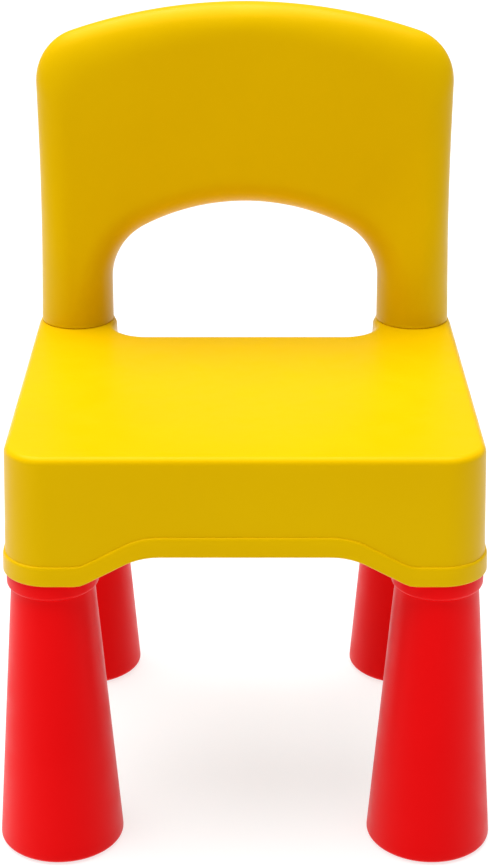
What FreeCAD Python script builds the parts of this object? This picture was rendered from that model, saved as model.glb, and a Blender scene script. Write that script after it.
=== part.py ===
import FreeCAD, Part
import math
import os

os.makedirs("parts", exist_ok=True)

# A small child's plastic chair: one moulded seat, one hollow backrest and four hollow legs
# that push and twist into the seat by hand, with a rubber plug closing each leg.
# Millimetres, +Z up, the front faces -Y, origin on the floor under the middle of the legs.

# Seat
seat_height = 236.0        # top of the seat above the floor
seat_half_width = 124.8    # at the top edge
seat_front = 121.0         # from the origin forward to the apron's top edge
seat_rear = 67.2           # from the origin back to the middle of the rear edge
corner_radius = 22.0       # front corners, in plan
notch_radius = 20.0        # inside corners behind the seat, in plan
top_edge_radius = 4.0
apron_draft = 0.031        # how far the apron flares out per millimetre down
apron_depth = 71.2         # top of the seat down to the apron's lowest edge, at the corners
ear_radius = 23.4          # rounded ears beside the notches, which carry the backrest and rear legs
seat_wall = 2.8
seat_top_wall = 3.6
dish_depth = 1.4           # shallow hollow in the top, a dome's worth of a very large sphere
dish_radius = 84.0
dish_back = -18.0          # the dish's centre, along Y

# Arched lower edge of the apron and the proud band that follows it
arch_rise = 16.6
arch_margin = 13.2         # from a leg's axis in to the foot of the ramp
ramp_angle = math.radians(28.0)
ramp_foot_radius = 13.0
ramp_crest_radius = 40.0
rim_height = 11.2
rim_proud = 1.2

# Stiffening ribs under the seat
rib_depth = 9.0
rib_thickness = 1.8
rib_pitch = 42.0

# Legs
leg_outset = 0.8           # a leg's axis stands this much further out than a post's
collar_overhang = 1.0      # the collar is this much wider than an ear, all round
neck_step = 2.1            # from the collar in to the cone under it
leg_spread = 12.0          # growth of the cone's radius from the collar to the floor
foot_edge_radius = 2.8
collar_height = 8.8
collar_edge_radius = 1.8
leg_wall = 3.2
leg_shoulder = 6.4         # from the collar in to the spigot
leg_spigot_length = 26.0
spigot_lead_in = 1.5

# Bayonet that holds a leg in its socket
socket_wall = 3.6
spigot_clearance = 0.25
lug_proud = 1.8
lug_width = 8.0
lug_height = 4.0
lug_drop = 14.0            # from the collar's top face up to the lug's underside
twist_angle = 60.0

# Foot plugs
plug_flange_height = 0.8
plug_flange_inset = 3.8    # flange edge, in from the cone's radius at the floor
plug_depth = 9.0
plug_wall = 2.2

# Backrest
post_margin = 1.8          # from the ear's edge in to the post
post_boss_step = 0.6       # the flat ring on the seat under each post
back_height = 189.5        # seat up to the highest point of the crowned top edge
shoulder_tuck = 0.8        # how far the shoulders stand in from the posts
waist_tuck = 1.5           # the same at the narrowest place, under the shoulders
crown_radius = 318.0
shoulder_radius = 31.0
opening_height = 72.8      # seat up to the middle of the opening's arch
opening_radius = 130.0
opening_corner_radius = 37.0
back_thickness = 30.0
back_wall = 2.6
back_lean = math.tan(math.radians(3.0))
post_straight = 26.0       # length of a post that stays round
post_blend = 78.0          # height over which it flattens into the panel
panel_squareness = 1.3     # how fast a section turns from round to flat-sided as it widens
back_stations = 30         # sections on each side, post to middle
section_poles = 28
back_shoulder = 4.6        # from the post in to its spigot
socket_web = 2.7           # floor between a rear leg's socket and the backrest's socket
spigot_end_gap = 1.5

V = FreeCAD.Vector
UP = V(0, 0, 1)
skirt_bottom = seat_height - apron_depth
post_x = seat_half_width - ear_radius
post_y = seat_front - corner_radius
post_radius = ear_radius - post_margin
leg_x = post_x + leg_outset
leg_y = post_y
collar_radius = ear_radius + collar_overhang
neck_radius = collar_radius - neck_step
foot_radius = neck_radius + leg_spread
leg_spigot_radius = collar_radius - leg_shoulder
back_spigot_radius = post_radius - back_shoulder
back_top = seat_height + back_height
back_half_width = post_x + post_radius - shoulder_tuck
back_waist = post_x + post_radius - waist_tuck
opening_top = seat_height + opening_height
ear_inner_x = post_x - ear_radius
front_corner_x = seat_half_width - corner_radius
front_corner_y = -seat_front + corner_radius
notch_x = ear_inner_x - notch_radius
notch_y = seat_rear + notch_radius
collar_bottom = skirt_bottom - collar_height
leg_spigot_top = skirt_bottom + leg_spigot_length
cone_slope = (foot_radius - neck_radius) / collar_bottom
lug_bottom = skirt_bottom + lug_drop
socket_radius = leg_spigot_radius + spigot_clearance
back_socket_radius = back_spigot_radius + spigot_clearance
web_bottom = leg_spigot_top + spigot_end_gap
web_top = web_bottom + socket_web
back_spigot_bottom = web_top + spigot_end_gap
ramp_radii = ramp_foot_radius + ramp_crest_radius
ramp_line = (arch_rise - ramp_radii * (1 - math.cos(ramp_angle))) / math.sin(ramp_angle)
ramp_run = ramp_radii * math.sin(ramp_angle) + ramp_line * math.cos(ramp_angle)
REACH = 4 * seat_half_width   # longer than any part, for cutting blocks


def export(shape, name):
    shape.exportStep("parts/" + name + ".step")


def arc(cx, cy, radius, start, end, z):
    """Arc about (cx, cy) in plan, from start to end degrees, either way round."""
    angles = [math.radians(a) for a in (start, (start + end) / 2, end)]
    points = [V(cx + radius * math.cos(a), cy + radius * math.sin(a), z) for a in angles]
    return Part.Arc(*points).toShape()


def line(x0, y0, x1, y1, z):
    return Part.LineSegment(V(x0, y0, z), V(x1, y1, z)).toShape()


def plan_wire(grow, z):
    """Outline of the seat in plan at height z, set out by grow all round."""
    front = -seat_front - grow
    side = seat_half_width + grow
    ear = ear_radius + grow
    notch = notch_radius - grow
    rear = notch_y - notch
    edges = [
        line(-front_corner_x, front, front_corner_x, front, z),
        arc(front_corner_x, front_corner_y, corner_radius + grow, -90, 0, z),
        line(side, front_corner_y, side, post_y, z),
        arc(post_x, post_y, ear, 0, 180, z),
        line(post_x - ear, post_y, notch_x + notch, notch_y, z),
        arc(notch_x, notch_y, notch, 0, -90, z),
        line(notch_x, rear, -notch_x, rear, z),
        arc(-notch_x, notch_y, notch, -90, -180, z),
        line(-notch_x - notch, notch_y, -post_x + ear, post_y, z),
        arc(-post_x, post_y, ear, 0, 180, z),
        line(-side, post_y, -side, front_corner_y, z),
        arc(-front_corner_x, front_corner_y, corner_radius + grow, 180, 270, z),
    ]
    return Part.Wire(edges)


def flare(z):
    """How far the apron stands out at height z from its size at the top."""
    return (seat_height - z) * apron_draft


def seat_block(grow, low, high):
    """Drafted block on the seat's plan, set out by grow, from height low to high."""
    wires = [plan_wire(grow + flare(low), low), plan_wire(grow + flare(high), high)]
    return Part.makeLoft(wires, True, True)


def arch_prism(half_run, lift, along_y):
    """Block under the arch: flat in the middle, with S-shaped ramps down to both sides."""
    foot = half_run - arch_margin
    crest = foot - ramp_run
    base = skirt_bottom + lift
    top = base + arch_rise
    drop = seat_height

    def bend(radius, angle):
        """How far along and how far down an arc has gone after turning by angle."""
        return radius * math.sin(angle), radius * (1 - math.cos(angle))

    crest_half, crest_end = bend(ramp_crest_radius, ramp_angle / 2), bend(ramp_crest_radius, ramp_angle)
    foot_half, foot_end = bend(ramp_foot_radius, ramp_angle / 2), bend(ramp_foot_radius, ramp_angle)
    right = [
        ("line", (crest, top)),
        ("arc", (crest + crest_half[0], top - crest_half[1]), (crest + crest_end[0], top - crest_end[1])),
        ("line", (foot - foot_end[0], base + foot_end[1])),
        ("arc", (foot - foot_half[0], base + foot_half[1]), (foot, base)),
        ("line", (foot, base - drop)),
    ]
    edges = []
    for side in (1, -1):
        here = (0.0, top)
        for kind, *points in right:
            ends = [V(side * a, 0, b) for a, b in [here] + points]
            curve = Part.Arc(*ends) if kind == "arc" else Part.LineSegment(*ends)
            edges.append(curve.toShape())
            here = points[-1]
    edges.append(Part.LineSegment(V(-foot, 0, base - drop), V(foot, 0, base - drop)).toShape())
    face = Part.Face(Part.Wire(Part.__sortEdges__(edges)))
    prism = face.extrude(V(0, REACH, 0))
    prism.translate(V(0, -REACH / 2, 0))
    if not along_y:
        prism.rotate(V(0, 0, 0), UP, 90)
    return prism


def arches(lift):
    """The front-to-back and the side-to-side arch blocks, raised by lift."""
    return arch_prism(leg_x, lift, True).fuse(arch_prism(leg_y, lift, False))


def disc(radius, low, high, x=0.0, y=0.0):
    return Part.makeCylinder(radius, high - low, V(x, y, low), UP)


def sector(radius, low, high, start, end):
    """Pie slice about the Z axis, from start to end degrees."""
    slice_ = Part.makeCylinder(radius, high - low, V(0, 0, low), UP, end - start)
    slice_.rotate(V(0, 0, 0), UP, start)
    return slice_


def bayonet_space():
    """Room for one leg's spigot and lugs: bore, two entry slots and the run they twist along."""
    reach = leg_spigot_radius + lug_proud + spigot_clearance
    half_angle = math.degrees(math.asin((lug_width / 2 + spigot_clearance) / leg_spigot_radius))
    space = disc(socket_radius, skirt_bottom - 1, web_bottom)
    lug_top = lug_bottom + lug_height + spigot_clearance
    for turn in (0, 180):
        run = sector(reach, lug_bottom, lug_top, turn - twist_angle - half_angle, turn + half_angle)
        entry = sector(reach, skirt_bottom - 1, lug_top,
                       turn - twist_angle - half_angle, turn - twist_angle + half_angle)
        space = space.fuse([run, entry])
    return space


def dish():
    """Large sphere that dips dish_depth below the seat's top over dish_radius."""
    radius = (dish_radius ** 2 + dish_depth ** 2) / (2 * dish_depth)
    return Part.makeSphere(radius, V(0, dish_back, seat_height - dish_depth + radius))


def rib_grid(block):
    """Shallow crossing ribs under the seat's top, kept inside the apron."""
    top = seat_height - seat_top_wall / 2
    low = seat_height - seat_top_wall - rib_depth
    ribs = []
    for step in (-2, -1, 0, 1, 2):
        centre = step * rib_pitch - rib_thickness / 2
        ribs.append(Part.makeBox(rib_thickness, REACH, top - low, V(centre, -REACH / 2, low)))
        ribs.append(Part.makeBox(REACH, rib_thickness, top - low,
                                 V(-REACH / 2, centre - (seat_front - seat_rear) / 2, low)))
    return ribs[0].fuse(ribs[1:]).common(block)


def seat_shell():
    """Seat, apron, rim band, leg sockets and backrest sockets, moulded in one."""
    outer = seat_block(0, skirt_bottom, seat_height)
    top_edges = [e for e in outer.Edges if all(abs(v.Z - seat_height) < 0.01 for v in e.Vertexes)]
    outer = outer.makeFillet(top_edge_radius, top_edges).cut(dish())
    band_top = skirt_bottom + rim_height
    band_reach = Part.makeBox(REACH, REACH, rim_height, V(-REACH / 2, -REACH / 2, skirt_bottom))
    band = seat_block(rim_proud, skirt_bottom, band_top + arch_rise)
    band = band.common(band_reach.fuse(arches(rim_height)))
    cavity = seat_block(-seat_wall, skirt_bottom - 1, seat_height - seat_top_wall)
    shell = outer.fuse(band).cut(cavity).cut(arches(0))
    shell = shell.fuse(rib_grid(seat_block(-seat_wall / 2, skirt_bottom, seat_height - seat_top_wall / 2)))

    bosses = []
    for side in (-1, 1):
        for y in (-leg_y, leg_y):
            bosses.append(disc(socket_radius + socket_wall, skirt_bottom,
                               seat_height - seat_top_wall / 2, side * leg_x, y))
        bosses.append(disc(post_radius + post_boss_step, seat_height - seat_top_wall,
                           seat_height, side * post_x, post_y))
    shell = shell.fuse([boss.common(seat_block(0, skirt_bottom, seat_height)) for boss in bosses])

    spaces = []
    for side in (-1, 1):
        for y in (-leg_y, leg_y):
            space = bayonet_space()
            if y < 0:
                space = space.fuse(disc(socket_radius, web_bottom - 1, seat_height - seat_top_wall))
            space.translate(V(side * leg_x, y, 0))
            spaces.append(space)
        spaces.append(disc(back_socket_radius, web_top, seat_height + 1, side * post_x, post_y))
    return shell.cut(spaces).removeSplitter()


def cone_radius(z):
    return foot_radius - cone_slope * z


def leg():
    """Hollow cone with a collar, a spigot and two bayonet lugs, on the Z axis."""
    rim = plug_flange_height
    neck = cone_radius(collar_bottom)
    bore_low = cone_radius(rim) - leg_wall
    bore_neck = neck - leg_wall
    bore_top = leg_spigot_radius - leg_wall
    outline = [
        (bore_low, rim), (cone_radius(rim), rim), (neck, collar_bottom),
        (collar_radius, collar_bottom), (collar_radius, skirt_bottom),
        (leg_spigot_radius, skirt_bottom), (leg_spigot_radius, leg_spigot_top - spigot_lead_in),
        (leg_spigot_radius - spigot_lead_in, leg_spigot_top), (0, leg_spigot_top),
        (0, leg_spigot_top - leg_wall), (bore_top, leg_spigot_top - leg_wall),
        (bore_top, skirt_bottom), (bore_neck, collar_bottom), (bore_low, rim),
    ]
    points = [V(r, 0, z) for r, z in outline]
    solid = Part.Face(Part.makePolygon(points)).revolve(V(0, 0, 0), UP, 360)
    foot_edge = ring_edges(solid, cone_radius(rim), rim)
    solid = solid.makeFillet(foot_edge_radius, foot_edge)
    solid = solid.makeFillet(collar_edge_radius, ring_edges(solid, collar_radius, collar_bottom))
    for turn in (0, 180):
        lug = Part.makeBox(leg_spigot_radius / 3 + lug_proud, lug_width, lug_height,
                           V(2 * leg_spigot_radius / 3, -lug_width / 2, lug_bottom))
        lug = lug.cut(disc(bore_top + leg_wall / 2, lug_bottom, lug_bottom + lug_height))
        lug = lug.common(disc(leg_spigot_radius + lug_proud, lug_bottom, lug_bottom + lug_height))
        lug.rotate(V(0, 0, 0), UP, turn)
        solid = solid.fuse(lug)
    return solid.removeSplitter()


def ring_edges(solid, radius, z):
    """The circular edges of a turned solid at one radius and height."""
    found = []
    for edge in solid.Edges:
        box = edge.BoundBox
        if box.ZMax - box.ZMin < 0.01 and abs(box.ZMin - z) < 0.01 and abs(box.XMax - radius) < 0.01:
            found.append(edge)
    return found


def foot_plug():
    """Rubber plug: a flange under the leg's rim and a ring pressed into the leg's mouth."""
    flange = foot_radius - plug_flange_inset
    ring_low = cone_radius(plug_flange_height) - leg_wall
    ring_high = cone_radius(plug_flange_height + plug_depth) - leg_wall
    outline = [
        (0, 0), (flange, 0), (flange, plug_flange_height), (ring_low, plug_flange_height),
        (ring_high, plug_flange_height + plug_depth),
        (ring_high - plug_wall, plug_flange_height + plug_depth),
        (ring_low - plug_wall, plug_flange_height + plug_wall), (0, plug_flange_height + plug_wall),
        (0, 0),
    ]
    points = [V(r, 0, z) for r, z in outline]
    return Part.Face(Part.makePolygon(points)).revolve(V(0, 0, 0), UP, 360)


def tangent_corner(half_width, corner, crown, top):
    """Corner arc between a vertical side and a crown: its centre, its top end and its middle."""
    cx = half_width - corner
    cz = top - crown + math.sqrt((crown - corner) ** 2 - cx ** 2)
    end_angle = math.atan2(cz - (top - crown), cx)
    end = (cx + corner * math.cos(end_angle), cz + corner * math.sin(end_angle))
    middle = (cx + corner * math.cos(end_angle / 2), cz + corner * math.sin(end_angle / 2))
    return cz, end, middle


def side_outlines(inset):
    """Right half of the panel seen from the front, from the seat up to the middle: outside, inside."""
    half = back_half_width - inset
    waist = back_waist - inset
    inner = post_x - post_radius + inset
    outer = post_x + post_radius - inset
    foot = seat_height + inset
    top = back_top - inset
    arch_top = opening_top + inset
    side_z, crown_end, shoulder_mid = tangent_corner(
        half, shoulder_radius - inset, crown_radius - inset, top)
    arch_z, arch_end, corner_mid = tangent_corner(
        inner, opening_corner_radius + inset, opening_radius + inset, arch_top)
    waist_z = (foot + side_z) / 2

    def crown_mid(radius, crest, end):
        angle = math.asin(end[0] / radius) / 2
        return radius * math.sin(angle), crest - radius * (1 - math.cos(angle))

    def through(*points):
        return Part.Arc(*[V(x, 0, z) for x, z in points]).toShape()

    outside = Part.Wire([
        through((outer, foot), (waist, waist_z), (half, side_z)),
        through((half, side_z), shoulder_mid, crown_end),
        through(crown_end, crown_mid(crown_radius - inset, top, crown_end), (0, top)),
    ])
    inside = Part.Wire([
        Part.LineSegment(V(inner, 0, foot), V(inner, 0, arch_z)).toShape(),
        through((inner, arch_z), corner_mid, arch_end),
        through(arch_end, crown_mid(opening_radius + inset, arch_top, arch_end), (0, arch_top)),
    ])
    return outside.discretize(back_stations), inside.discretize(back_stations)


def back_section(outside, inside, inset):
    """Ring of poles between a point outside and a point inside: round at a post, flatter in the panel."""
    middle = (outside + inside) / 2
    across = (outside - inside) / 2
    rise = min(max((middle.z - seat_height - post_straight) / post_blend, 0), 1)
    rise = rise * rise * (3 - 2 * rise)
    deep = post_radius + (back_thickness / 2 - post_radius) * rise - inset
    squareness = 2 + panel_squareness * max(across.Length / (post_radius - inset) - 1, 0)
    inside_poles = 3 / (2 + math.cos(2 * math.pi / section_poles)) - 1   # a cubic ring runs inside its poles
    spread = 1 + inside_poles * 2 / squareness
    poles = []
    for i in range(section_poles):
        angle = 2 * math.pi * i / section_poles
        wide = math.copysign(abs(math.cos(angle)) ** (2 / squareness), math.cos(angle))
        high = math.copysign(abs(math.sin(angle)) ** (2 / squareness), math.sin(angle))
        x = middle.x + across.x * wide * spread
        z = middle.z + across.z * wide * spread
        poles.append(V(x, post_y + back_lean * (z - seat_height) + deep * high * spread, z))
    return poles


def back_body(inset):
    """One smooth skin up the left post, across the top and down the right post, capped at both feet."""
    half = list(zip(*side_outlines(inset)))
    sides = [(side, o, i) for side, rows in ((-1, half), (1, half[-2::-1])) for o, i in rows]
    rows = [back_section(V(side * o.x, 0, o.z), V(side * i.x, 0, i.z), inset) for side, o, i in sides]
    spans = len(rows) - 3
    skin = Part.BSplineSurface()
    skin.buildFromPolesMultsKnots(
        rows, [4] + [1] * (spans - 1) + [4], [1] * (section_poles + 1),
        list(range(spans + 1)), list(range(section_poles + 1)), False, True, 3, 3)
    face = skin.toShape()
    feet = [e for e in face.Edges if e.BoundBox.ZMax < seat_height + inset + 0.01]
    caps = [Part.Face(Part.Wire([e])).reversed() for e in feet]   # both face down, out of the solid
    return Part.Solid(Part.Shell([face] + caps))


def backrest():
    """Hollow moulding with a blind spigot under each post."""
    solid = back_body(0)
    hollow = back_body(back_wall)
    spigots = []
    bores = []
    for side in (-1, 1):
        spigot = disc(back_spigot_radius, back_spigot_bottom, seat_height + back_wall, side * post_x, post_y)
        rim = [e for e in spigot.Edges if e.BoundBox.ZMax < back_spigot_bottom + 0.01]
        spigots.append(spigot.makeChamfer(spigot_lead_in, rim))
        bores.append(disc(back_spigot_radius - back_wall, back_spigot_bottom + back_wall,
                          seat_height + 2 * back_wall, side * post_x, post_y))
    return solid.fuse(spigots).cut([hollow] + bores).removeSplitter()


export(seat_shell(), "seat_shell")
export(backrest(), "backrest")
for end, y in (("front", -leg_y), ("rear", leg_y)):
    for hand, x in (("left", -leg_x), ("right", leg_x)):
        place = V(x, y, 0)
        export(leg().translated(place), "leg_" + end + "_" + hand)
        export(foot_plug().translated(place), "foot_plug_" + end + "_" + hand)
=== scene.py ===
import bpy, bmesh, math
import numpy as np
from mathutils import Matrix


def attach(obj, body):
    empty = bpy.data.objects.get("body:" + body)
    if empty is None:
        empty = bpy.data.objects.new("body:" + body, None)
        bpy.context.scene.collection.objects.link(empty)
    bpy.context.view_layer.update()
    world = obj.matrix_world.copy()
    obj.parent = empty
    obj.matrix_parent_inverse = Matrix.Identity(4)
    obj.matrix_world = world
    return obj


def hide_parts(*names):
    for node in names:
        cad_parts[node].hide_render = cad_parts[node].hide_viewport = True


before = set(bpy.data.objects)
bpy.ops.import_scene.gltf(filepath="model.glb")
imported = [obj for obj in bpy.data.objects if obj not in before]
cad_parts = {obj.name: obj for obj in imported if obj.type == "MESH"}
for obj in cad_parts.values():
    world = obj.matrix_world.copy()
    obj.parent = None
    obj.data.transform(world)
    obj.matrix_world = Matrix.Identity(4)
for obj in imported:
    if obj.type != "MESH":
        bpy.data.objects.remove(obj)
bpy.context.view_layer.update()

# --- Seat -------------------------------------------------------------------
# One injection moulding in yellow polypropylene: top, deep apron, and a proud rim
# band that follows the arched lower edge. The legs' sockets are moulded inside it.


def moulded_plastic(name, face_tone, deep_tone, worn_tone, sheen_tone, roughness):
    """Moulded plastic: faint clouds of tone, a fine sand-blasted grain, soft scuffs, paler worn edges."""
    mat = bpy.data.materials.new(name)
    mat.use_nodes = True
    nodes, links = mat.node_tree.nodes, mat.node_tree.links
    shader = nodes["Principled BSDF"]
    shader.inputs["IOR"].default_value = 1.49
    shader.inputs["Specular IOR Level"].default_value = 0.20
    shader.inputs["Specular Tint"].default_value = sheen_tone + (1.0,)
    place = nodes.new("ShaderNodeTexCoord")

    def noise(scale, detail):
        node = nodes.new("ShaderNodeTexNoise")
        node.inputs["Scale"].default_value = scale
        node.inputs["Detail"].default_value = detail
        links.new(place.outputs["Object"], node.inputs["Vector"])
        return node.outputs["Fac"]

    def spread(value, low, high, to_low, to_high):
        node = nodes.new("ShaderNodeMapRange")
        node.inputs["From Min"].default_value = low
        node.inputs["From Max"].default_value = high
        node.inputs["To Min"].default_value = to_low
        node.inputs["To Max"].default_value = to_high
        links.new(value, node.inputs["Value"])
        return node.outputs["Result"]

    def blend(amount, first, second):
        node = nodes.new("ShaderNodeMix")
        node.data_type = "RGBA"
        links.new(amount, node.inputs["Factor"])
        for socket, tone in ((node.inputs[6], first), (node.inputs[7], second)):
            if isinstance(tone, tuple):
                socket.default_value = tone + (1.0,)
            else:
                links.new(tone, socket)
        return node.outputs[2]

    clouds = blend(spread(noise(9.0, 2.0), 0.35, 0.65, 0.0, 1.0), face_tone, deep_tone)
    edges = nodes.new("ShaderNodeNewGeometry")
    rubbed = spread(edges.outputs["Pointiness"], 0.52, 0.60, 0.0, 0.35)
    links.new(blend(rubbed, clouds, worn_tone), shader.inputs["Base Color"])
    links.new(spread(noise(55.0, 5.0), 0.40, 0.70, roughness - 0.04, roughness + 0.06),
              shader.inputs["Roughness"])
    grain = nodes.new("ShaderNodeBump")
    grain.inputs["Strength"].default_value = 0.10
    grain.inputs["Distance"].default_value = 0.0001
    links.new(noise(1400.0, 2.0), grain.inputs["Height"])
    links.new(grain.outputs["Normal"], shader.inputs["Normal"])
    return mat


yellow = moulded_plastic("yellow_moulding", (0.735, 0.455, 0.000), (0.718, 0.437, 0.000),
                         (0.790, 0.530, 0.020), (1.0, 0.72, 0.02), 0.36)


def rounded(corners, radii, steps=7):
    """A profile with its corners rounded: each corner becomes an arc tangent to its two straight sides."""
    path = [corners[0]]
    for before, corner, after, radius in zip(corners, corners[1:], corners[2:], radii):
        corner = np.array(corner, float)
        back, ahead = np.array(before) - corner, np.array(after) - corner
        back, ahead = back / np.linalg.norm(back), ahead / np.linalg.norm(ahead)
        half_angle = math.acos(float(np.clip(back @ ahead, -1, 1))) / 2
        if radius <= 0:
            path.append(tuple(corner))
            continue
        reach = radius / math.tan(half_angle)
        centre = corner + (back + ahead) / np.linalg.norm(back + ahead) * radius / math.sin(half_angle)
        start, end = corner + back * reach - centre, corner + ahead * reach - centre
        turn = math.pi - 2 * half_angle
        share = np.linspace(0, 1, steps)[:, None]
        arc = (np.sin((1 - share) * turn) * start + np.sin(share * turn) * end) / math.sin(turn)
        path += [tuple(p) for p in centre + arc]
    return np.array(path + [corners[-1]], float)


def finer(path, step):
    """The same path with points added along its longer straight runs, about a step apart."""
    pieces = [path[:1]]
    for a, b in zip(path, path[1:]):
        count = max(int(np.ceil(np.linalg.norm(b - a) / step)), 1)
        pieces.append(a + (b - a) * (np.arange(1, count + 1) / count)[:, None])
    return np.vstack(pieces)


def close_up(mesh):
    """Merges the points of shared edges, seams and poles, and turns every face outwards."""
    work = bmesh.new()
    work.from_mesh(mesh)
    bmesh.ops.remove_doubles(work, verts=work.verts, dist=1e-6)
    bmesh.ops.dissolve_degenerate(work, edges=work.edges, dist=1e-7)
    bmesh.ops.recalc_face_normals(work, faces=work.faces)
    work.to_mesh(mesh)
    work.free()


def grid_piece(name, grids, mats, smooth_angle=40.0):
    """A mesh from grids of points in millimetres, each (rows, columns, 3), joined where their edges meet."""
    verts, faces, base = [], [], 0
    for grid in grids:
        rows, cols = grid.shape[:2]
        i, j = np.meshgrid(np.arange(rows - 1), np.arange(cols - 1), indexing="ij")
        quads = np.stack([i * cols + j, i * cols + j + 1, (i + 1) * cols + j + 1, (i + 1) * cols + j], -1)
        verts.append(grid.reshape(-1, 3) * 0.001)
        faces.append(quads.reshape(-1, 4) + base)
        base += rows * cols
    mesh = bpy.data.meshes.new(name)
    mesh.from_pydata(np.vstack(verts).tolist(), [], np.vstack(faces).tolist())
    close_up(mesh)
    for mat in mats:
        mesh.materials.append(mat)
    mesh.shade_smooth()
    mesh.set_sharp_from_angle(angle=math.radians(smooth_angle))
    piece = bpy.data.objects.new(name, mesh)
    bpy.context.scene.collection.objects.link(piece)
    return piece


def turned(path, centre, columns=96):
    """A profile of (radius, height) turned about an upright axis: x, y = radius times cos, sin."""
    turn = np.linspace(0, 2 * np.pi, columns + 1)
    radius, height = path[:, :1], path[:, 1:]
    return np.stack([centre[0] + radius * np.cos(turn), centre[1] + radius * np.sin(turn),
                     height + 0 * turn], -1)


seat_top, seat_half, seat_front, seat_rear = 236.0, 124.8, -121.0, 67.2
corner_round, notch_round, ear_round, edge_round = 22.0, 20.0, 23.4, 4.0
draft, wall, top_wall = 0.031, 2.8, 3.6
skirt_low, band_high, band_proud, band_lip = 164.8, 11.2, 1.2, 1.4
arch_rise, ramp_turn, foot_bend, crest_bend = 16.6, math.radians(28.0), 13.0, 40.0
arch_foot = (89.0, 85.8)          # where a ramp starts, across the front and along the side
dish_depth, dish_y, dish_round = 1.4, -18.0, 92.0    # the shallow hollow in the top
print_depth, print_round = 0.06, 25.0                # a faint sunk print round each post
post_x, post_y, socket_round = 101.4, 99.0, 17.25
leg_x, leg_y, leg_socket_round, boss_round = 102.2, 99.0, 18.25, 21.85


def arc_run(centre, radius, start, end, count, facing=1):
    """Points and outward directions along an arc in plan. Facing -1 is a hollow corner, cut into the plan."""
    turn = np.radians(np.linspace(start, end, count))
    way = np.stack([np.cos(turn), np.sin(turn)], -1)
    return np.array(centre) + radius * way, facing * way


def straight_run(start, end, way, count):
    """Points and one outward direction along a straight side in plan."""
    start, end, share = np.array(start), np.array(end), np.linspace(0, 1, count)[:, None]
    return start + (end - start) * share, np.tile(np.array(way, float), (count, 1))


def joined(*runs):
    """Runs laid end to end, without the points that they share."""
    return [np.vstack([run[k] if n == 0 else run[k][1:] for n, run in enumerate(runs)]) for k in (0, 1)]


def arch_height(x, y):
    """Height of the apron's lower edge: a flat arch whose ramps are an arc, a slope and an arc back."""
    high = np.zeros_like(x)
    foot_run, crest_run = foot_bend * math.sin(ramp_turn), crest_bend * math.sin(ramp_turn)
    foot_rise, crest_drop = foot_bend * (1 - math.cos(ramp_turn)), crest_bend * (1 - math.cos(ramp_turn))
    run = foot_run + crest_run + (arch_rise - foot_rise - crest_drop) / math.tan(ramp_turn)
    for place, foot in ((np.abs(x), arch_foot[0]), (np.abs(y), arch_foot[1])):
        into = np.clip(foot - place, 0, run)
        low = foot_bend - np.sqrt(foot_bend ** 2 - np.minimum(into, foot_run) ** 2)
        top = arch_rise - crest_bend + np.sqrt(crest_bend ** 2 - np.minimum(run - into, crest_run) ** 2)
        slope = foot_rise + (into - foot_run) * math.tan(ramp_turn)
        rise = np.where(into < foot_run, low, np.where(into > run - crest_run, top, slope))
        high = np.maximum(high, rise)
    return skirt_low + high


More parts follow.
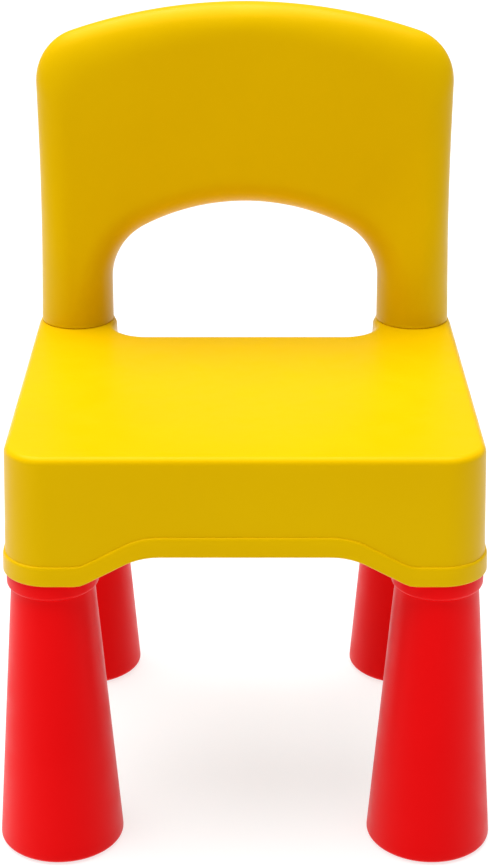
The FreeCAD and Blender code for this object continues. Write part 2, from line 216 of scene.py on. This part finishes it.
def seat_skin(edge, way, spine):
    """One quarter of the seat, as rows from the spine over the top, round the edge, and back under it."""
    def ribbon(inset, count, height, inward):
        share = np.linspace(0, 1, count)[:, None, None]
        flat = spine + (edge - inset * way - spine) * (1 - share if inward else share)
        return np.concatenate([flat, np.full(flat.shape[:2] + (1,), height)], -1)

    def rows_at(offset, height):
        flat = edge + offset[..., None] * way
        return np.concatenate([flat, np.broadcast_to(height, offset.shape)[..., None]], -1)

    def print_sink(rows):
        near = np.hypot(np.abs(rows[..., 0]) - post_x, rows[..., 1] - post_y)
        return print_depth * np.clip((print_round - near) / 2, 0, 1)

    low = arch_height(edge[:, 0], edge[:, 1])[None, :]
    band = low + band_high
    top = ribbon(edge_round, 22, seat_top, False)
    hollow = np.clip(1 - (top[..., 0] ** 2 + (top[..., 1] - dish_y) ** 2) / dish_round ** 2, 0, 1)
    top[..., 2] -= dish_depth * hollow ** 2 + print_sink(top)

    turn = np.radians(np.linspace(0, 90, 10))[1:, None]
    flare = draft * edge_round
    fillet = rows_at(-edge_round + (edge_round + flare) * np.sin(turn) + 0 * low,
                     seat_top - edge_round + edge_round * np.cos(turn) + 0 * low)
    fillet[..., 2] -= print_sink(fillet) * np.cos(turn)

    share = np.linspace(0, 1, 12)[1:, None]
    height = (seat_top - edge_round) * (1 - share) + (band + 0.5) * share
    apron = rows_at(draft * (seat_top - height), height)

    step_out = np.array([0.00, 0.30, 0.55, 0.78, 0.97, 1.12, 1.20])[:, None]
    step_down = np.array([0.04, -0.02, -0.12, -0.30, -0.58, -1.00, -1.60])[:, None]
    height = band + step_down
    step = rows_at(draft * (seat_top - height) + step_out, height)

    share = np.linspace(0, 1, 4)[1:, None]
    height = (band - 1.6) * (1 - share) + (low + band_lip) * share
    face = rows_at(draft * (seat_top - height) + band_proud, height)
    lip_flare = draft * (seat_top - low)
    turn = np.radians(np.linspace(0, 90, 7))[1:, None]
    lip = rows_at(lip_flare + band_proud - band_lip * (1 - np.cos(turn)),
                  low + band_lip * (1 - np.sin(turn)))
    turn = np.radians(np.linspace(90, 0, 4))[:, None]
    inner_lip = rows_at(lip_flare - wall + 0.5 - 0.5 * np.cos(turn), low + 0.5 - 0.5 * np.sin(turn))

    share = np.linspace(0, 1, 10)[1:, None]
    ceiling = seat_top - top_wall
    height = (low + 0.5) * (1 - share) + (ceiling - 2.0) * share
    inner = rows_at(draft * (seat_top - height) - wall, height)
    turn = np.radians(np.linspace(0, 90, 5))[1:, None]
    cove = rows_at(draft * (top_wall + 2.0) * (1 - np.sin(turn)) - wall - 2.0 * (1 - np.cos(turn)) + 0 * low,
                   ceiling - 2.0 + 2.0 * np.sin(turn) + 0 * low)
    under = ribbon(wall + 2.0, 14, ceiling, True)[1:]
    return np.concatenate([top, fillet, apron, step, face, lip, inner_lip, inner, cove, under])


spine_count, ring_count = 101, 25
bend = np.linspace(0, 1, spine_count)[:, None]
socket_foot = (post_x, post_y - socket_round)
spine = ((1 - bend) ** 2 * np.array((0, -28.0)) + 2 * bend * (1 - bend) * np.array((98.0, -28.0))
         + bend ** 2 * np.array(socket_foot))
notch_x, notch_y = post_x - ear_round - notch_round, seat_rear + notch_round
corner_x, corner_y = seat_half - corner_round, seat_front + corner_round
outer_edge = joined(
    straight_run((0, seat_front), (corner_x, seat_front), (0, -1), 31),
    arc_run((corner_x, corner_y), corner_round, -90, 0, 29),
    straight_run((seat_half, corner_y), (seat_half, socket_foot[1]), (1, 0), 43),
    straight_run((seat_half, socket_foot[1]), (seat_half, post_y), (1, 0), ring_count),
    arc_run((post_x, post_y), ear_round, 0, 90, ring_count))
inner_edge = joined(
    straight_run((0, seat_rear), (notch_x, seat_rear), (0, 1), 61),
    arc_run((notch_x, notch_y), notch_round, -90, 0, 41, -1),
    straight_run((notch_x + notch_round, notch_y), (notch_x + notch_round, post_y), (-1, 0), ring_count),
    arc_run((post_x, post_y), ear_round, 180, 90, ring_count))
seat_grids = []
for edge_run, ring_start in ((outer_edge, -90), (inner_edge, 270)):
    ring, _ = arc_run((post_x, post_y), socket_round, ring_start, 90, 2 * ring_count - 1)
    quarter = seat_skin(edge_run[0], edge_run[1], np.vstack([spine, ring[1:]]))
    socket_wall = np.stack([quarter[-1, spine_count - 1:], quarter[0, spine_count - 1:]])
    for side in (1, -1):
        seat_grids += [quarter * (side, 1, 1), socket_wall * (side, 1, 1)]

# The sockets hang from the top inside each corner, each with a groove that the leg's lugs
# turn in. A rear one has a floor part way up, with the backrest's socket above it, and a
# flat ring on the seat around that.
boss_top, web_low, web_high = 233.0, 192.3, 195.0
groove_round, groove_low, groove_high = 20.1, 178.5, 183.3
socket_mouth = [(boss_round, boss_top), (boss_round, skirt_low), (leg_socket_round, skirt_low),
                (leg_socket_round, groove_low), (groove_round, groove_low),
                (groove_round, groove_high), (leg_socket_round, groove_high)]
mouth_radii = [0.6, 0.8, 0.2, 0.2, 0.2, 0.2]
front_boss = rounded(socket_mouth + [(leg_socket_round, boss_top), (boss_round, boss_top)],
                     mouth_radii + [0.0])
rear_boss = rounded(socket_mouth + [(leg_socket_round, web_low), (0, web_low)], mouth_radii + [1.0])
rear_boss_inside = rounded([(0, web_high), (socket_round, web_high), (socket_round, boss_top - 0.6),
                            (socket_round + 0.3, boss_top), (boss_round, boss_top)], [1.0, 0.0, 0.0])
post_ring = rounded([(socket_round + 0.2, 232.0), (22.2, 232.0), (22.2, seat_top),
                     (socket_round + 0.2, seat_top), (socket_round + 0.2, 232.0)], [0.0, 0.5, 0.2])
for side in (1, -1):
    seat_grids.append(turned(finer(front_boss, 6.0), (side * leg_x, -leg_y), 72))
    outside = turned(finer(rear_boss, 6.0), (side * leg_x, leg_y), 72)
    inside = turned(finer(rear_boss_inside, 6.0), (side * post_x, post_y), 72)
    inside[-1] = outside[0]
    seat_grids += [outside, inside, turned(post_ring, (side * post_x, post_y), 72)]

# Ribs stiffen the top from below. Each is a thin blade, thinner at its free edge.
rib_high, rib_low = seat_top - top_wall + 1.2, seat_top - top_wall - 9.0
ribs = [((x, -118.5), (x, 62.5)) for x in (-42.0, 0.0, 42.0)]
ribs += [((x, -90.7), (x, 90.7)) for x in (-84.0, 84.0)]
ribs += [((-reach, y), (reach, y)) for reach, y in ((86.0, -112.1), (122.5, -70.1), (122.5, -28.1),
                                                    (122.5, 13.9), (122.5, 55.9))]
blade = np.array([(0.9, rib_high), (0.62, rib_low + 0.3), (0.3, rib_low), (-0.3, rib_low),
                  (-0.62, rib_low + 0.3), (-0.9, rib_high), (0.9, rib_high)])
for start, end in ribs:
    start, end = np.array(start), np.array(end)
    along_rib = (end - start) / np.linalg.norm(end - start)
    sideways = np.array((-along_rib[1], along_rib[0]))
    places = start + (end - start) * np.array([0, 0, 0.5, 1, 1])[:, None]
    thick = np.array([0, 1, 1, 1, 0])[:, None]
    middle_high = (rib_high + rib_low) / 2
    rib = np.empty((5, len(blade), 3))
    rib[..., :2] = places[:, None, :] + (thick * blade[:, 0])[..., None] * sideways
    rib[..., 2] = middle_high + (blade[:, 1] - middle_high) * thick
    seat_grids.append(rib)

seat = grid_piece("seat_moulding", seat_grids, [yellow])
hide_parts("seat_shell")
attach(seat, "seat")

# --- Legs -------------------------------------------------------------------
# Four hollow cones moulded in red polypropylene, each with a collar that butts
# against the rim and a spigot with two lugs that twists into its socket.

leg_places = {"front_left": (-leg_x, -leg_y), "front_right": (leg_x, -leg_y),
              "rear_left": (-leg_x, leg_y), "rear_right": (leg_x, leg_y)}
leg_foot, leg_neck, leg_wall = 34.3, 22.3, 3.2
collar_low, collar_high, collar_out = 156.0, 164.8, 24.4
spigot_out, spigot_high = 18.0, 190.8
lug_middle, lug_half_height, lug_half_width = 180.8, 2.6, 4.6
lug_share = 0.1                   # how far a lug stands out, as a share of the spigot's radius
plug_rim = 0.8

red = moulded_plastic("red_moulding", (0.860, 0.004, 0.005), (0.830, 0.003, 0.004),
                      (0.880, 0.030, 0.030), (1.0, 0.05, 0.05), 0.40)

leg_outside = rounded(
    [(0, spigot_high), (spigot_out, spigot_high), (spigot_out, collar_high), (collar_out, collar_high),
     (collar_out, collar_low), (leg_neck, collar_low), (leg_foot - 0.06, plug_rim),
     (leg_foot - leg_wall, plug_rim), (leg_neck - leg_wall, collar_low),
     (spigot_out - leg_wall, collar_high), (spigot_out - leg_wall, spigot_high - leg_wall),
     (0, spigot_high - leg_wall)],
    [1.5, 0.4, 0.5, 2.2, 0.5, 2.6, 0.3, 2.0, 2.0, 1.2])

for which, spot in leg_places.items():
    skin = turned(finer(leg_outside, 4.0), spot)
    around = np.arctan2(skin[..., 1] - spot[1], skin[..., 0] - spot[0])
    off_lug = np.abs((around + np.pi / 2) % np.pi - np.pi / 2) * spigot_out
    on_spigot = (np.abs(np.hypot(skin[..., 0] - spot[0], skin[..., 1] - spot[1]) - spigot_out) < 0.05)
    in_band = np.clip((lug_half_height - np.abs(skin[..., 2] - lug_middle)) / 0.6, 0, 1)
    across_lug = np.clip((lug_half_width - off_lug) / 0.8, 0, 1)
    proud = 1.0 + lug_share * on_spigot * in_band * across_lug
    skin[..., 0] = spot[0] + (skin[..., 0] - spot[0]) * proud
    skin[..., 1] = spot[1] + (skin[..., 1] - spot[1]) * proud
    leg = grid_piece("leg_moulding_" + which, [skin], [red])
    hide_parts("leg_" + which)
    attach(leg, which + "_leg")

# --- Foot plugs -------------------------------------------------------------
# A dark rubber plug pressed into each leg's open end. Its flange is what stands on
# the floor, with three shallow tread rings.

dark_rubber = moulded_plastic("dark_rubber", (0.020, 0.020, 0.021), (0.015, 0.015, 0.016),
                              (0.060, 0.060, 0.060), (1.0, 1.0, 1.0), 0.70)
plug_out, ring_out, ring_top, plug_floor = 30.5, 30.8, 9.8, 3.0
tread_depth = 0.35
tread = []
for ring in (27.0, 21.0, 15.0):
    tread += [(ring + 0.9, 0.0), (ring + 0.6, tread_depth), (ring - 0.6, tread_depth), (ring - 0.9, 0.0)]
plug_corners = [(0, 0)] + tread[::-1] + [
    (plug_out, 0.0), (plug_out, plug_rim), (ring_out - 0.4, plug_rim), (ring_out - 0.7, ring_top),
    (ring_out - 2.9, ring_top), (ring_out - 2.6, plug_floor), (0, plug_floor)]
plug_radii = [0.15] * len(tread) + [0.3, 0.1, 0.3, 0.6, 0.6, 1.2]

for which, spot in leg_places.items():
    plug = grid_piece("foot_pad_" + which,
                      [turned(finer(rounded(plug_corners, plug_radii, 4), 5.0), spot)], [dark_rubber])
    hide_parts("foot_plug_" + which)
    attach(plug, which + "_leg")

# --- Backrest ---------------------------------------------------------------
# One hollow blow-moulding in the same yellow: two round posts that flatten into an
# arched panel. A spigot under each post drops into a socket in the seat's ears.

post_out = 21.6
lean = math.tan(math.radians(3.0))
back_high, arch_high = 425.5, 308.8
shoulder_half, waist_tuck = 122.2, 1.1
shoulder_round, crown_round = 31.0, 318.0
arch_corner_round, arch_round = 37.0, 130.0
panel_half_depth = 15.0
flatten_from, flatten_over = 262.0, 78.0     # heights between which a post flattens into the panel
rim_round_side, rim_round_top, rim_round_arch = 34.0, 17.0, 16.0
crown_reach = 95.0                # from the middle, where the top edge is rounded more tightly
back_spigot_out, back_spigot_low = 17.0, 196.5
post_low = seat_top + 0.9


def tangent_corner(half_width, corner, crown, high):
    """A corner arc that touches an upright side and a crown arc: its centre's height, and its turn."""
    middle = half_width - corner
    level = high - crown + math.sqrt((crown - corner) ** 2 - middle ** 2)
    return level, math.atan2(level - (high - crown), middle)


def along(points, count):
    """Points evenly spaced by length along a path."""
    run = np.concatenate([[0], np.cumsum(np.linalg.norm(np.diff(points, axis=0), axis=1))])
    even = np.linspace(0, run[-1], count)
    return np.stack([np.interp(even, run, points[:, k]) for k in (0, 1)], -1)


def panel_edge(foot_x, half_width, tuck, corner, crown, high):
    """Right half of an edge seen from the front: a slightly waisted side, a corner arc and a crown arc."""
    level, turn = tangent_corner(half_width, corner, crown, high)
    rise = np.linspace(0, 1, 60)
    side = np.stack([foot_x + (half_width - foot_x) * rise - tuck * np.sin(np.pi * rise),
                     post_low + (level - post_low) * rise], -1)
    bend = np.linspace(0, turn, 60)
    bend = np.stack([half_width - corner + corner * np.cos(bend), level + corner * np.sin(bend)], -1)
    arch = np.linspace(turn, np.pi / 2, 60)
    arch = np.stack([crown * np.cos(arch), high - crown + crown * np.sin(arch)], -1)
    return np.vstack([side, bend[1:], arch[1:]])


def back_skin(rows_each_side=110, columns=112):
    """The panel as rings round a path: outer and inner edges paired, with a rounded depth between them."""
    outer = along(panel_edge(post_x + post_out, shoulder_half, waist_tuck, shoulder_round,
                             crown_round, back_high), rows_each_side)
    inner = along(panel_edge(post_x - post_out, post_x - post_out, 0.0, arch_corner_round,
                             arch_round, arch_high), rows_each_side)
    outer = np.vstack([outer * (-1, 1), outer[-2::-1]])
    inner = np.vstack([inner * (-1, 1), inner[-2::-1]])
    middle, reach = (outer + inner) / 2, (outer - inner) / 2
    width = np.linalg.norm(reach, axis=1)[:, None]
    turn = np.linspace(0, 2 * np.pi, columns + 1)[None, :]
    across, front = np.cos(turn), np.sin(turn)
    flat = np.clip((middle[:, 1:] - flatten_from) / flatten_over, 0, 1)
    flat = flat * flat * (3 - 2 * flat)
    level_top = np.clip(1 - np.abs(middle[:, :1]) / crown_reach, 0, 1) ** 0.7
    crest_round = rim_round_side - (rim_round_side - rim_round_top) * level_top
    outer_round = post_out + flat * (crest_round - post_out)
    inner_round = post_out + flat * (rim_round_arch - post_out)
    round_edge = np.where(across >= 0, outer_round, inner_round)
    depth = post_out + (panel_half_depth - post_out) * flat
    from_edge = np.minimum(width * (1 - np.abs(across)), round_edge) / np.minimum(round_edge, width)
    from_edge = np.clip(from_edge, 0, 1)
    stand = depth * np.sqrt(1 - (1 - from_edge) ** 2)
    x = middle[:, :1] + reach[:, :1] * across
    z = middle[:, 1:] + reach[:, 1:] * across
    y = post_y + lean * (z - seat_top) - np.sign(front) * stand
    return np.stack([x, y, z], -1)


def back_foot(side, columns=112):
    """Rings under a post: its rounded lower edge, the shoulder, the spigot and the spigot's closed end."""
    profile = rounded([(post_out, post_low), (post_out, seat_top), (back_spigot_out, seat_top),
                       (back_spigot_out, back_spigot_low), (0, back_spigot_low)],
                      [0.8, 0.3, 1.5])[1:]
    profile = finer(profile, 4.0)
    turn = np.linspace(0, 2 * np.pi, columns + 1)
    radius, height = profile[:, :1], profile[:, 1:]
    return np.stack([side * (post_x + radius * np.cos(turn)), post_y - radius * np.sin(turn),
                     height + 0 * turn], -1)


back_rings = np.vstack([back_foot(-1)[::-1], back_skin(), back_foot(1)])
back = grid_piece("back_moulding", [back_rings], [yellow])
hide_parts("backrest")
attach(back, "backrest")

# --- Floor, light and camera ------------------------------------------------
# A plain near-white floor that runs out of view, a large soft light overhead, and a
# softer one from the front.

floor_mesh = bpy.data.meshes.new("floor")
floor_mesh.from_pydata([(-60, -60, 0), (60, -60, 0), (60, 60, 0), (-60, 60, 0)], [], [(0, 1, 2, 3)])
floor = bpy.data.objects.new("floor", floor_mesh)
pale = bpy.data.materials.new("pale_floor")
pale.use_nodes = True
for finish, amount in (("Base Color", (0.30, 0.30, 0.30, 1)), ("Roughness", 0.9),
                       ("Emission Color", (1, 1, 1, 1)), ("Emission Strength", 0.74)):
    pale.node_tree.nodes["Principled BSDF"].inputs[finish].default_value = amount
floor_mesh.materials.append(pale)
bpy.context.scene.collection.objects.link(floor)

sky = bpy.data.lights.new("overhead", "SUN")
sky.energy, sky.angle = 5.1, math.radians(60)
overhead = bpy.data.objects.new("overhead", sky)
overhead.rotation_euler = (math.radians(-4), math.radians(-8), 0)
bpy.context.scene.collection.objects.link(overhead)

box = bpy.data.lights.new("front_fill", "AREA")
box.shape, box.size, box.energy = "SQUARE", 1.2, 3.2
fill = bpy.data.objects.new("front_fill", box)
fill.location = (-1.6, -1.9, 0.9)
fill.rotation_euler = (math.radians(72), 0, math.radians(-40))
bpy.context.scene.collection.objects.link(fill)

studio = bpy.data.worlds.new("studio")
studio.use_nodes = True
studio.node_tree.nodes["Background"].inputs["Color"].default_value = (1, 1, 1, 1)
studio.node_tree.nodes["Background"].inputs["Strength"].default_value = 0.20
bpy.context.scene.world = studio
bpy.context.scene.view_settings.view_transform = "Standard"
bpy.context.scene.view_settings.look = "None"

lens = bpy.data.cameras.new("camera")
lens.lens, lens.sensor_width = 83.33, 36.0
camera = bpy.data.objects.new("camera", lens)
camera.location = (0.0, -1.0575, 0.6345)
camera.rotation_euler = (math.radians(67.684), 0, 0)
bpy.context.scene.collection.objects.link(camera)
bpy.context.scene.camera = camera
